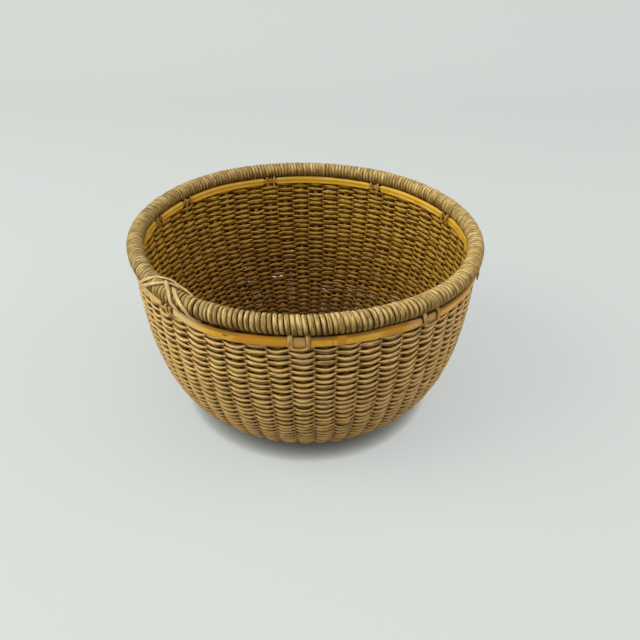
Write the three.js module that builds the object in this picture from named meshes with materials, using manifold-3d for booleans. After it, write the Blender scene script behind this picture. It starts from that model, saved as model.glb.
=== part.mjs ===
// A round bowl basket of split cane. Flat spokes cross in the base, turn up as stakes inside the
// woven wall, and end under a wrapped rim roll with a split strip tied on each side of them.
// Millimetres, +Z up. The origin is the middle of the underside. Azimuths are seen from above:
// 0 is the front, -Y, and 90 is the right, +X.
import * as THREE from 'three';
import { mergeVertices } from 'three/addons/utils/BufferGeometryUtils.js';
import ManifoldModule from 'manifold-3d';

// Overall form
const rimRadius = 133.5;
const rimHeight = 148.5;
const wallFullness = 0.76;
const fit = 0.3;

// Weaving
const weaveThickness = 7.2;
const baseRingWidth = 12.9;
const weaverJoinHeight = 38;
const bandSteps = 3;

// Spokes and stakes
const firstLayerSpokes = 14;
const secondLayerSpokes = 13;
const addedStakes = 1;
const stakeWidth = 4.4;
const stakeThickness = 2.4;
const frontStakeAzimuth = 0.5;

// Rim roll
const coreRadius = 4.2;
const bindingRadius = 6.5;
const bindingGroove = 1.0;
const bindingTurns = 60;
const rollCorners = 6;

// Strips under the roll
const stripThickness = 2.6;
const stripHeight = 7.2;
const stripJointGap = 1.0;

// Ends of the outer strips and joints of the inner ones, in stakes counted to the right from the
// front one
const outerFrontEnds = [-6.08, 5.45];
const outerBackEnds = [5.67, 48.1];
const innerJoints = [17, 39];

// Lashings, each at the stake of this number counted to the right from the front one
const lashedStakes = [0, 6, 11, 17, 23, 30, 36, 39, 43, 49];
const lashingWidth = 2.6;
const lashingThickness = 1.1;
const lashingChamfer = 0.4;
const crossingRunSize = 1.0;

// Crossed tie over the roll: each strand's azimuths and its angles round the roll, where 0 is
// outwards and 90 is the top
const tieRadius = 1.2;
const tieSteps = 10;
const tieSides = 6;
const tieStrands = [
  [[-53, -40], [-51.2, 6], [-49.5, 42], [-48, 75], [-47, 112], [-43, 136], [-38, 134], [-34, 122]],
  [[-52, -42], [-51, 0], [-48.8, 25], [-45, 72], [-43, 105], [-40.2, 126], [-36, 124], [-33, 112]],
  [[-47, 150], [-45.2, 121], [-41.5, 84], [-38.8, 50], [-36.9, 15], [-34.8, -18], [-31.5, -44]],
  [[-43, 135], [-40.2, 103], [-37.2, 71], [-34.6, 40], [-31.5, 4], [-29.8, -24], [-28, -44]],
];

// Least distance from a strip's end to its next corner, in stakes
const cornerMargin = 0.2;

// Worked out from the sizes above
const stakeCount = 2 * (firstLayerSpokes + secondLayerSpokes) + addedStakes;
const stakePitch = 360 / stakeCount;
const oppositeStep = firstLayerSpokes + secondLayerSpokes;
const wallRadius = rimRadius + weaveThickness / 2;
const spokePitch = stakeWidth + fit;
const crossingHalf = [secondLayerSpokes * spokePitch / 2, firstLayerSpokes * spokePitch / 2];
const hubRadius = Math.hypot(crossingHalf[0], crossingHalf[1]) + stakeWidth / 2;
const restRadius = hubRadius + baseRingWidth;
const wallFootRadius = restRadius + fit;
const layerHeights = [-1, 1].map((side) => (weaveThickness + side * (stakeThickness + fit)) / 2);
const slotHalfWidth = stakeThickness / 2 + fit;
const slotAngle = THREE.MathUtils.radToDeg(Math.asin(slotHalfWidth / coreRadius));
const rollAngles = Array.from({ length: rollCorners }, (unused, corner) =>
  slotAngle - 90 + corner * (360 - 2 * slotAngle) / (rollCorners - 1));
const stakeTop = rimHeight - Math.sqrt(coreRadius ** 2 - slotHalfWidth ** 2) - fit;
const lashingReach = lashingThickness + fit;
const stripTop = rimHeight - bindingRadius - fit - lashingReach;
const stripBottom = stripTop - stripHeight;
const weaveTop = stripBottom - lashingReach - fit;
const outerStripRadius = rimRadius + stakeThickness / 2 + fit;
const innerStripRadius = rimRadius - stakeThickness / 2 - fit;

const wasm = await ManifoldModule();
wasm.setup();

const cane = new THREE.MeshStandardMaterial({ color: 0xb99c63, roughness: 0.62, metalness: 0 });
const stakeCane = new THREE.MeshStandardMaterial({ color: 0xa98a52, roughness: 0.65, metalness: 0 });
const rimCane = new THREE.MeshStandardMaterial({ color: 0xb5a275, roughness: 0.6, metalness: 0 });
const coreCane = new THREE.MeshStandardMaterial({ color: 0x9d8150, roughness: 0.7, metalness: 0 });
const peel = new THREE.MeshStandardMaterial({ color: 0xcf9a4c, roughness: 0.42, metalness: 0 });

const radians = THREE.MathUtils.degToRad;

function outward(azimuth) {
  return new THREE.Vector3(Math.sin(radians(azimuth)), -Math.cos(radians(azimuth)), 0);
}

function alongRim(azimuth) {
  return new THREE.Vector3(Math.cos(radians(azimuth)), Math.sin(radians(azimuth)), 0);
}

function atPolar(azimuth, radius, height) {
  return outward(azimuth).multiplyScalar(radius).setZ(height);
}

function stakeAzimuth(number) {
  return frontStakeAzimuth + number * stakePitch;
}

// The wall's outline from the rim, angle 0, to the foot, angle 90, moved in from the outer face
function wallPoint(angle, depth) {
  const across = Math.cos(radians(angle));
  const down = Math.sin(radians(angle));
  const spread = wallRadius - wallFootRadius;
  const radius = wallFootRadius + spread * across ** wallFullness;
  const height = rimHeight * (1 - down ** wallFullness);
  const slope = new THREE.Vector2(spread * across ** (wallFullness - 1) * down, 0);
  slope.y = rimHeight * down ** (wallFullness - 1) * across;
  const normal = new THREE.Vector2(slope.y, -slope.x).normalize();
  return { radius: radius - depth * normal.x, height: height - depth * normal.y, normal };
}

function wallAngleAt(height) {
  return THREE.MathUtils.radToDeg(Math.asin((1 - height / rimHeight) ** (1 / wallFullness)));
}

// Angles of the wall's corners from the foot up to the top row, in a lower and an upper band of
// weaving. The foot's own angle is a hair under 90, where the outline turns level.
const footAngle = 89.999;
const bandEnds = [footAngle, wallAngleAt(weaverJoinHeight), wallAngleAt(weaveTop)];
const [lowerBand, upperBand] = [0, 1].map((band) =>
  Array.from({ length: bandSteps + 1 }, (unused, step) =>
    THREE.MathUtils.lerp(bandEnds[band], bandEnds[band + 1], step / bandSteps)));
const joinAngles = [-1, 1].map((side) => wallAngleAt(weaverJoinHeight + side * fit / 2));

// Closed meshes
function toManifold(geometry) {
  const bare = geometry.clone();
  bare.deleteAttribute('normal');
  bare.deleteAttribute('uv');
  const merged = mergeVertices(bare);
  return new wasm.Manifold(new wasm.Mesh({
    numProp: 3,
    vertProperties: merged.attributes.position.array,
    triVerts: merged.index.array,
  }));
}

function toGeometry(manifold) {
  const mesh = manifold.getMesh();
  const geometry = new THREE.BufferGeometry();
  geometry.setAttribute('position', new THREE.BufferAttribute(mesh.vertProperties, 3));
  geometry.setIndex(new THREE.BufferAttribute(mesh.triVerts, 1));
  geometry.computeVertexNormals();
  return geometry;
}

function fromTriangles(points, triangles) {
  const geometry = new THREE.BufferGeometry().setFromPoints(points);
  geometry.setIndex(triangles.flat());
  geometry.computeVertexNormals();
  return geometry;
}

// A solid through sections with the same number of points, each listed anticlockwise as seen
// from the last section, with flat ends
function loft(sections) {
  const sides = sections[0].length;
  const points = sections.flat();
  const triangles = [];
  for (let row = 0; row + 1 < sections.length; row += 1) {
    for (let side = 0; side < sides; side += 1) {
      const a = row * sides + side;
      const b = row * sides + (side + 1) % sides;
      triangles.push([a, b, b + sides], [a, b + sides, a + sides]);
    }
  }
  const last = (sections.length - 1) * sides;
  for (let side = 1; side + 1 < sides; side += 1) {
    triangles.push([0, side + 1, side], [last, last + side, last + side + 1]);
  }
  return fromTriangles(points, triangles);
}

function lathe(profile, segments, startAzimuth) {
  const points = profile.map(([radius, height]) => new THREE.Vector2(radius, height));
  const geometry = new THREE.LatheGeometry([...points, points[0]], segments, radians(startAzimuth));
  return geometry.rotateX(Math.PI / 2);
}

// Four corners of a flat strip: across its width, then through its thickness
function stripSection(centre, across, through, width, thickness) {
  return [[1, 1], [-1, 1], [-1, -1], [1, -1]].map(([w, t]) => centre.clone()
    .addScaledVector(across, w * width / 2)
    .addScaledVector(through, t * thickness / 2));
}

// One end of a spoke, from the hub out and up: the side is 1 or -1 along the spoke's own way
function stakeStations(azimuth, side) {
  const across = alongRim(azimuth).multiplyScalar(side);
  const level = new THREE.Vector3(0, 0, 1);
  const stations = [hubRadius, restRadius].map((radius) => ({
    centre: atPolar(azimuth, radius, weaveThickness / 2),
    across,
    through: level,
  }));
  for (const angle of [...lowerBand.slice(1), ...upperBand.slice(1), wallAngleAt(stakeTop)]) {
    const point = wallPoint(angle, weaveThickness / 2);
    const through = outward(azimuth).multiplyScalar(-point.normal.x).setZ(-point.normal.y);
    stations.push({ centre: atPolar(azimuth, point.radius, point.height), across, through });
  }
  stations.at(-1).centre.z = stakeTop;
  return stations;
}

function stakeLoft(stations, clearance) {
  const width = stakeWidth + 2 * clearance;
  const thickness = stakeThickness + 2 * clearance;
  return loft(stations.map(({ centre, across, through }) =>
    stripSection(centre, across, through, width, thickness)));
}

// A spoke lies straight across the hub in its layer and fans out to its two stakes
function spokeStations(layer, order) {
  const count = layer === 0 ? firstLayerSpokes : secondLayerSpokes;
  const first = layer === 0 ? 0 : firstLayerSpokes;
  const near = first + order;
  const far = first + oppositeStep + count - 1 - order;
  const layerAzimuth = stakeAzimuth((firstLayerSpokes - 1) / 2) + 90 * layer;
  const across = alongRim(layerAzimuth);
  const through = new THREE.Vector3(0, 0, 1);
  const crossing = [-1, 1].map((side) => {
    const centre = atPolar(layerAzimuth, side * crossingHalf[layer], layerHeights[layer]);
    centre.addScaledVector(across, (order - (count - 1) / 2) * spokePitch);
    return { centre, across, through };
  });
  const farSide = stakeStations(stakeAzimuth(far), -1).reverse();
  return [...farSide, ...crossing, ...stakeStations(stakeAzimuth(near), 1)];
}

const stakes = [];
for (const [layer, count] of [firstLayerSpokes, secondLayerSpokes].entries()) {
  for (let order = 0; order < count; order += 1) {
    const name = `spoke_${String(stakes.length + 1).padStart(2, '0')}`;
    stakes.push({ name, stations: spokeStations(layer, order) });
  }
}
for (let number = 0; number < addedStakes; number += 1) {
  const name = addedStakes === 1 ? 'added_stake' : `added_stake_${number + 1}`;
  stakes.push({ name, stations: stakeStations(stakeAzimuth(stakeCount - 1 - number), 1) });
}

// The weaving, with a passage for each stake
function withPassages(geometry) {
  let weaving = toManifold(geometry);
  for (const { stations } of stakes) weaving = weaving.subtract(toManifold(stakeLoft(stations, fit)));
  return toGeometry(weaving);
}

const middleOfGap = frontStakeAzimuth + stakePitch / 2;

function wovenBase() {
  const profile = [
    [restRadius, 0],
    [restRadius, weaveThickness],
    [hubRadius, weaveThickness],
    [hubRadius, 0],
  ];
  return withPassages(lathe(profile, stakeCount, middleOfGap));
}

function wovenWall(angles) {
  const outer = angles.map((angle) => wallPoint(angle, 0));
  const inner = angles.map((angle) => wallPoint(angle, weaveThickness)).reverse();
  const profile = [...outer, ...inner].map(({ radius, height }) => [radius, height]);
  return withPassages(lathe(profile, stakeCount, middleOfGap));
}

// Rim roll: the core's section has its corners at the roll angles, with a flat over the stakes
function rimCore() {
  const profile = rollAngles.map((angle) => [
    rimRadius + coreRadius * Math.cos(radians(angle)),
    rimHeight + coreRadius * Math.sin(radians(angle)),
  ]);
  return lathe(profile, stakeCount, frontStakeAzimuth);
}

// A closed ring of fine points joined to a closed ring of coarse points, both by growing azimuth
function joinRings(fine, coarse, flip) {
  const triangles = [];
  let low = 0;
  for (let high = 0; high < fine.length; high += 1) {
    const next = (high + 1) % fine.length;
    const a = fine[high];
    const b = fine[next];
    triangles.push([a, b, coarse[low % coarse.length]]);
    const due = Math.floor((high + 1) * coarse.length / fine.length);
    if (due > low) {
      triangles.push([b, coarse[due % coarse.length], coarse[low % coarse.length]]);
      low = due;
    }
  }
  return flip ? triangles.map(([a, b, c]) => [a, c, b]) : triangles;
}

// The wrapped strand is one skin over the core, open below where the stakes come in. Its face
// rises and falls along one unbroken helix, and each ridge stands for four turns of strand.
function rimBinding() {
  const halfCorner = (rollAngles[1] - rollAngles[0]) / 2;
  const boreRadius = coreRadius + fit / Math.cos(radians(halfCorner));
  const onRoll = (azimuth, angle, radius) => atPolar(
    azimuth,
    rimRadius + radius * Math.cos(radians(angle)),
    rimHeight + radius * Math.sin(radians(angle)),
  );
  const rows = rollAngles.length;
  const rings = 2 * bindingTurns;
  const turnWidth = 360 / bindingTurns;
  const points = [];
  for (let ring = 0; ring < rings; ring += 1) {
    const radius = bindingRadius - (ring % 2) * bindingGroove;
    for (const angle of rollAngles) {
      points.push(onRoll((ring / 2 + (90 - angle) / 360) * turnWidth, angle, radius));
    }
  }
  for (let ring = 0; ring < stakeCount; ring += 1) {
    for (const angle of rollAngles) points.push(onRoll(stakeAzimuth(ring), angle, boreRadius));
  }
  const face = (ring, row) => (ring % rings) * rows + row;
  const bore = (ring, row) => rings * rows + (ring % stakeCount) * rows + row;
  const triangles = [];
  for (let row = 0; row + 1 < rows; row += 1) {
    for (let ring = 0; ring < rings; ring += 1) {
      triangles.push([face(ring, row), face(ring + 1, row), face(ring + 1, row + 1)]);
      triangles.push([face(ring, row), face(ring + 1, row + 1), face(ring, row + 1)]);
    }
    for (let ring = 0; ring < stakeCount; ring += 1) {
      triangles.push([bore(ring, row), bore(ring + 1, row + 1), bore(ring + 1, row)]);
      triangles.push([bore(ring, row), bore(ring, row + 1), bore(ring + 1, row + 1)]);
    }
  }
  for (const row of [0, rows - 1]) {
    const fine = Array.from({ length: rings }, (unused, ring) => face(ring, row));
    const coarse = Array.from({ length: stakeCount }, (unused, ring) => bore(ring, row));
    triangles.push(...joinRings(fine, coarse, row === 0));
  }
  return fromTriangles(points, triangles);
}

// Strips: flat on the stakes, from one place to another in stakes, with a corner at each stake
// that is well inside their ends
function rimStrip(innerRadius, from, to) {
  const places = [from];
  for (let number = Math.ceil(from + cornerMargin); number < to - cornerMargin; number += 1) {
    places.push(number);
  }
  places.push(to);
  const middle = (stripTop + stripBottom) / 2;
  const up = new THREE.Vector3(0, 0, 1);
  return loft(places.map(stakeAzimuth).map((azimuth) => {
    const centre = atPolar(azimuth, innerRadius + stripThickness / 2, middle);
    return stripSection(centre, up, outward(azimuth), stripHeight, stripThickness);
  }));
}

// An inner strip between two joints, short of each by half the gap
function innerStrip(fromJoint, toJoint) {
  const halfGap = THREE.MathUtils.radToDeg(stripJointGap / 2 / innerStripRadius) / stakePitch;
  return rimStrip(innerStripRadius - stripThickness, fromJoint + halfGap, toJoint - halfGap);
}

// Lashings: a strand taken twice round both strips, once on each side of a stake, with its
// crossing run under the outer strip
const lashingInner = innerStripRadius - stripThickness - lashingReach;
const lashingOuter = outerStripRadius + stripThickness + lashingReach;
const lashingTop = stripTop + lashingReach;
const lashingBottom = stripBottom - lashingReach;

function chamferedLoop(inset, corner) {
  const [left, right] = [lashingInner + inset, lashingOuter - inset];
  const [low, high] = [lashingBottom + inset, lashingTop - inset];
  return [
    [left + corner, low], [right - corner, low], [right, low + corner], [right, high - corner],
    [right - corner, high], [left + corner, high], [left, high - corner], [left, low + corner],
  ].map(([x, y]) => new THREE.Vector2(x, y));
}

function lashingTurn(azimuth) {
  const shape = new THREE.Shape(chamferedLoop(0, lashingChamfer));
  shape.holes.push(new THREE.Path(chamferedLoop(lashingThickness, lashingChamfer / 2)));
  const turn = new THREE.ExtrudeGeometry(shape, { depth: lashingWidth, bevelEnabled: false });
  turn.translate(0, 0, -lashingWidth / 2);
  const up = new THREE.Vector3(0, 0, 1);
  const place = new THREE.Matrix4().makeBasis(outward(azimuth), up, alongRim(azimuth).negate());
  return turn.applyMatrix4(place);
}

function lashing(stake) {
  const azimuth = stakeAzimuth(stake);
  const sides = [-0.5, 0.5].map((side) => azimuth + side * stakePitch);
  const radius = lashingOuter - lashingThickness / 2;
  const height = lashingBottom + lashingThickness / 2;
  const up = new THREE.Vector3(0, 0, 1);
  const run = loft([sides[0], azimuth, sides[1]].map((place) => stripSection(
    atPolar(place, radius, height),
    up,
    outward(place),
    crossingRunSize,
    crossingRunSize,
  )));
  const turns = sides.map((place) => toManifold(lashingTurn(place)));
  return toGeometry(turns[0].add(turns[1]).add(toManifold(run)));
}

// Crossed tie: round strands laid over the binding
function tieStrand(places) {
  const reach = bindingRadius + fit + tieRadius;
  const route = new THREE.CatmullRomCurve3(places.map(([azimuth, angle]) => atPolar(
    azimuth,
    rimRadius + reach * Math.cos(radians(angle)),
    rimHeight + reach * Math.sin(radians(angle)),
  )));
  const section = new THREE.Shape();
  for (let side = 0; side < tieSides; side += 1) {
    const turn = 2 * Math.PI * side / tieSides;
    section[side ? 'lineTo' : 'moveTo'](tieRadius * Math.cos(turn), tieRadius * Math.sin(turn));
  }
  return new THREE.ExtrudeGeometry(section, { steps: tieSteps, extrudePath: route });
}

function crossedTie() {
  const strands = tieStrands.map((places) => toManifold(tieStrand(places)));
  return toGeometry(strands.reduce((joined, strand) => joined.add(strand)));
}

// The basket
const basket = new THREE.Group();
basket.name = 'woven_basket';

function addPiece(name, geometry, material) {
  const piece = new THREE.Mesh(geometry, material);
  piece.name = name;
  basket.add(piece);
}

for (const { name, stations } of stakes) addPiece(name, stakeLoft(stations, 0), stakeCane);
addPiece('woven_base', wovenBase(), cane);
addPiece('woven_wall_lower', wovenWall([...lowerBand.slice(0, -1), joinAngles[0]]), cane);
addPiece('woven_wall_upper', wovenWall([joinAngles[1], ...upperBand.slice(1)]), cane);
addPiece('rim_core', rimCore(), coreCane);
addPiece('rim_binding', rimBinding(), rimCane);
addPiece('outer_strip_front', rimStrip(outerStripRadius, ...outerFrontEnds), peel);
addPiece('outer_strip_back', rimStrip(outerStripRadius, ...outerBackEnds), peel);
addPiece('inner_strip_back', innerStrip(innerJoints[0], innerJoints[1]), peel);
addPiece('inner_strip_front', innerStrip(innerJoints[1] - stakeCount, innerJoints[0]), peel);

for (const [order, stake] of lashedStakes.entries()) {
  addPiece(`lashing_${String(order + 1).padStart(2, '0')}`, lashing(stake), rimCane);
}
addPiece('crossed_tie', crossedTie(), rimCane);

export default basket;
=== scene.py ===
"""A round bowl basket of split cane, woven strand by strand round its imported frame.

Metres, +Z up, the origin in the middle of the underside. Azimuths are in degrees seen from above:
0 is the front, -Y, and 90 is the right, +X. Heights are above the table.
"""
import math

import bmesh
import bpy
import numpy as np
from mathutils import Matrix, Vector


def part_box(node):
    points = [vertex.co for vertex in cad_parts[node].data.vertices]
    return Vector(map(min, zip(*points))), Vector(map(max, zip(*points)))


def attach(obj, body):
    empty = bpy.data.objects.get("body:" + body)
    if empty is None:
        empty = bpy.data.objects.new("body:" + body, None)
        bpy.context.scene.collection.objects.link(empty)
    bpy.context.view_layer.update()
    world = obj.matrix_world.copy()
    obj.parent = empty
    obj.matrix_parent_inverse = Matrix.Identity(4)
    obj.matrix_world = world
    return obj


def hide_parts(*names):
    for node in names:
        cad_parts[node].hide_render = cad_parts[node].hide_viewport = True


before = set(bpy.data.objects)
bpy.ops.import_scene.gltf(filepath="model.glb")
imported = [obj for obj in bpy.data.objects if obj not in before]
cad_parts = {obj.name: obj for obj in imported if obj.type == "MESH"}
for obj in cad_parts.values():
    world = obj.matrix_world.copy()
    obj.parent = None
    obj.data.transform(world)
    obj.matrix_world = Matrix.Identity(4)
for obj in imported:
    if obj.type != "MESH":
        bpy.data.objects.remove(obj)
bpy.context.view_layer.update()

# Overall form, as in the frame
RIM_RADIUS = 0.1335
RIM_HEIGHT = 0.1485
REST_RADIUS = 0.060
WALL_FULLNESS = 0.76
WEAVE_THICKNESS = 0.0072
HALF_WEAVE = WEAVE_THICKNESS / 2
STAKES = 55
FRONT_STAKE = 0.5
STAKE_PITCH = 360 / STAKES

# Weavers
ROW_SPACING = 0.00252
WEAVER_WIDTH = 0.0032
WEAVER_THICKNESS = 0.0016
WEAVER_BULGE = 0.0021
WEAVER_JOIN_HEIGHT = 0.038
WEAVE_TOP = 0.1352
FIRST_ROW_STAKE = -12
BASE_ROW_SPACING = 0.0023
BASE_WEAVER_WIDTH = 0.0028
BASE_WEAVER_THICKNESS = 0.0017
STRAND_PER_STAKE = 0.0125
# How far up the wall a weaver runs steady, is slimmer, and takes painted shade towards the foot
STEADY_REACH, FOOT_REACH, PAINTED_SHADE_REACH = 0.008, 0.06, 0.11

# Spokes and stakes
STAKE_WIDTH = 0.0044
STAKE_THICKNESS = 0.0026
CROWDED_STAKE_WIDTH = 0.0031
CROWDED_STAKE_THINNING = 0.0003
HUB_SPOKE_THICKNESS = 0.0019
SPOKE_PITCH = 0.0047
SPOKE_LAYERS = (14, 13)
SPOKE_RISE = 0.00112
SPOKE_BEND = 0.4
HUB_RADIUS = 0.0475
HUB_EDGE = HUB_RADIUS + 0.002

# Rim roll
BINDING_RADIUS = 0.0065
BINDING_STRAND = 0.0035
BINDING_THICKNESS = 0.0024
BINDING_TURNS = 246
BINDING_LEAN = 0.095
STRAND_PER_TURN = 0.037
ROLL_UNDERSIDE = RIM_HEIGHT - BINDING_RADIUS

# Strips under the roll
OUTER_STRIP_HEIGHT = 0.0068
INNER_STRIP_HEIGHT = 0.0066
STRIP_THICKNESS = 0.0022
STRIP_MIDDLE = sum(corner.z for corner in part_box("outer_strip_back")) / 2
STRIP_ROUNDING = 0.0025
STRIP_DOME = 0.0003
# From how far off, and up to where, a strip narrows towards a tie and towards its own end
TIE_REACH, END_REACH = (0.0075, 0.0045), (0.014, 0.003)
INNER_STRIP_GROOVE = 0.0006
OUTER_STRIP_RADIUS = 0.1363
INNER_STRIP_RADIUS = 0.1307

# Lashings and the crossed tie
LASHING_MIDDLE = 0.137
LASHING_WIDTH = 0.0022
LASHING_LEG_WIDENING = 0.0016
LASHING_THICKNESS = 0.0013
LASHING_STRAY = 0.0002
TIE_WIDTH = 0.0030
TIE_THICKNESS = 0.0020

# The grain pattern: half a strand's width in it, the shift from one strand to the next, and how
# deep the fibres stand
GRAIN_REACH = 0.0014
GRAIN_SHIFT = 0.37
FIBRE_DEPTH = 0.00014


def stake_azimuth(number):
    """Where a stake stands, counted to the right from the front one. Parts of a pitch count."""
    return FRONT_STAKE + number * STAKE_PITCH


def linear(code):
    """A colour as it looks on a screen, in the light values that shaders take."""
    channels = [int(code[i:i + 2], 16) / 255 for i in (0, 2, 4)]
    return [c / 12.92 if c <= 0.04045 else ((c + 0.055) / 1.055) ** 2.4 for c in channels] + [1.0]


# Formulas in node trees
def sums(operation, swapped=False):
    """A method of Number that adds one math node."""
    def method(number, other):
        pair = (other, number) if swapped else (number, other)
        return formula(number.tree, operation, *pair)
    return method


class Number:
    """A value on a wire of a node tree. Plain sums with it add the math nodes."""

    def __init__(self, tree, socket):
        self.tree = tree
        self.socket = socket

    __add__ = __radd__ = sums("ADD")
    __mul__ = __rmul__ = sums("MULTIPLY")
    __sub__, __rsub__ = sums("SUBTRACT"), sums("SUBTRACT", swapped=True)
    __truediv__, __rtruediv__ = sums("DIVIDE"), sums("DIVIDE", swapped=True)
    __pow__ = sums("POWER")

    def __neg__(self):
        return self * -1

    def __abs__(self):
        return formula(self.tree, "ABSOLUTE", self)


def feed(tree, entry, value):
    """Joins a number or a node's first output to an input, or writes a plain value into it."""
    if isinstance(value, Number):
        tree.links.new(value.socket, entry)
    elif isinstance(value, bpy.types.Node):
        tree.links.new(value.outputs[0], entry)
    else:
        entry.default_value = value


def formula(tree, operation, *values):
    node = tree.nodes.new("ShaderNodeMath")
    node.operation = operation
    for entry, value in zip(node.inputs, values):
        feed(tree, entry, value)
    return Number(tree, node.outputs[0])


def one_step(operation):
    """A function that adds one math node to the tree of its first value."""
    return lambda value, *others: formula(value.tree, operation, value, *others)


cosine, sine, sign, floor = map(one_step, ("COSINE", "SINE", "SIGN", "FLOOR"))
larger, smaller, is_below = map(one_step, ("MAXIMUM", "MINIMUM", "LESS_THAN"))


def add_node(tree, kind, inputs=None, **settings):
    node = tree.nodes.new(kind)
    for name, value in settings.items():
        setattr(node, name, value)
    for name, value in (inputs or {}).items():
        feed(tree, node.inputs[name], value)
    return node


def vector(tree, x, y, z):
    return add_node(tree, "ShaderNodeCombineXYZ", {"X": x, "Y": y, "Z": z})


def parts_of(tree, source):
    """The three numbers in a vector that comes from a node or on a wire."""
    node = add_node(tree, "ShaderNodeSeparateXYZ", {"Vector": source})
    return [Number(tree, output) for output in node.outputs]


def noise(tree, place, detail=1.0):
    """Smooth noise from about -1 to 1 at a place, where one unit is one bump."""
    node = add_node(tree, "ShaderNodeTexNoise", {"Vector": place, "Scale": 1.0, "Detail": detail})
    return (Number(tree, node.outputs[0]) - 0.5) * 2.6


def chance(tree, whole, seed):
    """A number from 0 to 1 for each whole number, without any pattern."""
    node = add_node(tree, "ShaderNodeTexWhiteNoise", {"Vector": vector(tree, whole, seed, 0.5)})
    return Number(tree, node.outputs["Value"])


def held(value):
    """The value, kept between 0 and 1."""
    return smaller(larger(value, 0.0), 1.0)


def boxed(value, power):
    """A sine or cosine pushed towards 1 or -1, which makes a round section squarer."""
    return sign(value) * abs(value) ** power


def wandering(passed, pace, seed, lane, detail=1.0):
    """Smooth noise along a strand, with that many bumps to each stake or turn passed."""
    tree = passed.tree
    return noise(tree, vector(tree, passed * pace, seed, lane), detail)


def store(tree, geometry, name, value, kind="FLOAT"):
    return add_node(
        tree, "GeometryNodeStoreNamedAttribute",
        data_type=kind, inputs={"Geometry": geometry, "Name": name, "Value": value})


def stored(tree, name, kind="FLOAT"):
    node = add_node(tree, "GeometryNodeInputNamedAttribute", data_type=kind, inputs={"Name": name})
    return Number(tree, node.outputs[0])


def shape_tree(name, sizes):
    """A new geometry tree with a named input for each size, and those inputs as numbers."""
    tree = bpy.data.node_groups.new(name, "GeometryNodeTree")
    kinds = {label: "Int" if isinstance(value, int) else "Float" for label, value in sizes.items()}
    for label, kind in {"Geometry": "Geometry", **kinds, "Material": "Material"}.items():
        tree.interface.new_socket(label, in_out="INPUT", socket_type="NodeSocket" + kind)
    tree.interface.new_socket("Geometry", in_out="OUTPUT", socket_type="NodeSocketGeometry")
    entry = tree.nodes.new("NodeGroupInput")
    return tree, {socket.name: Number(tree, socket) for socket in entry.outputs if socket.name}


def close_strand(tree, tube, place, grain, shade, material):
    """Ends a tree: puts the tube's points in place, stores what the finish reads at each of
    them, and turns the result into a plain mesh with its material."""
    strand = add_node(
        tree, "GeometryNodeSetPosition", {"Geometry": tube, "Position": vector(tree, *place)})
    for name, parts in (("grain", grain), ("shade", shade)):
        strand = store(tree, strand, name, vector(tree, *parts), "FLOAT_VECTOR")
    smooth = add_node(tree, "GeometryNodeSetShadeSmooth", {"Geometry": strand})
    real = add_node(tree, "GeometryNodeRealizeInstances", {"Geometry": smooth})
    painted = add_node(tree, "GeometryNodeSetMaterial", {"Geometry": real, "Material": material})
    tree.links.new(painted.outputs[0], tree.nodes.new("NodeGroupOutput").inputs[0])


def skin(tree, path, sides):
    """A closed tube along a curve, and where round it each of its points lies: 1 to -1 from one
    edge of the strand to the other, and 1 to -1 from its outer face to its inner one."""
    circle = add_node(tree, "GeometryNodeCurvePrimitiveCircle", {"Resolution": sides})
    index = Number(tree, tree.nodes.new("GeometryNodeInputIndex").outputs[0])
    profile = store(tree, circle, "around", index / sides * math.tau)
    tube = add_node(
        tree, "GeometryNodeCurveToMesh",
        {"Curve": path, "Profile Curve": profile, "Fill Caps": True})
    around = stored(tree, "around")
    return tube, cosine(around), sine(around)


def long_tube(tree, lengths, steps, start, sides):
    """A skin of that many lengths, each in a number of steps, and before its values how many
    lengths each of its points has passed, counted on from a start."""
    line = add_node(tree, "GeometryNodeCurvePrimitiveLine")
    path = add_node(
        tree, "GeometryNodeResampleCurve", {"Curve": line, "Count": lengths * steps + 1})
    index = Number(tree, tree.nodes.new("GeometryNodeInputIndex").outputs[0])
    path = store(tree, path, "passed", index / steps + start)
    return stored(tree, "passed"), *skin(tree, path, sides)


WEAVER_SIZES = {
    "Stakes": STAKES, "First Stake": math.radians(stake_azimuth(FIRST_ROW_STAKE)),
    "First Row": 0, "Rows": 10, "First Distance": 0.0, "Row Spacing": ROW_SPACING,
    "Strand Width": WEAVER_WIDTH, "Strand Thickness": WEAVER_THICKNESS, "Bulge": WEAVER_BULGE,
    "Inner Widening": 0.25, "Foot Slimming": 0.34, "Squareness": 0.30, "Squeeze": 0.14,
    "Pressing": 0.60, "Fill": 0.0013, "Sag": 0.0006, "Sway": 0.00036, "Drift": 0.00082,
    "Stray": 0.0014, "Tilt": 0.45, "Swell": 0.18, "Fatness": 0.12, "Stoutness": 0.54,
    "Unevenness": 1.0, "Pinholes": 0.012, "Pinhole Depth": 0.0020, "Steps per Stake": 10,
    "Sides": 8, "Seed": 0,
}


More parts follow.
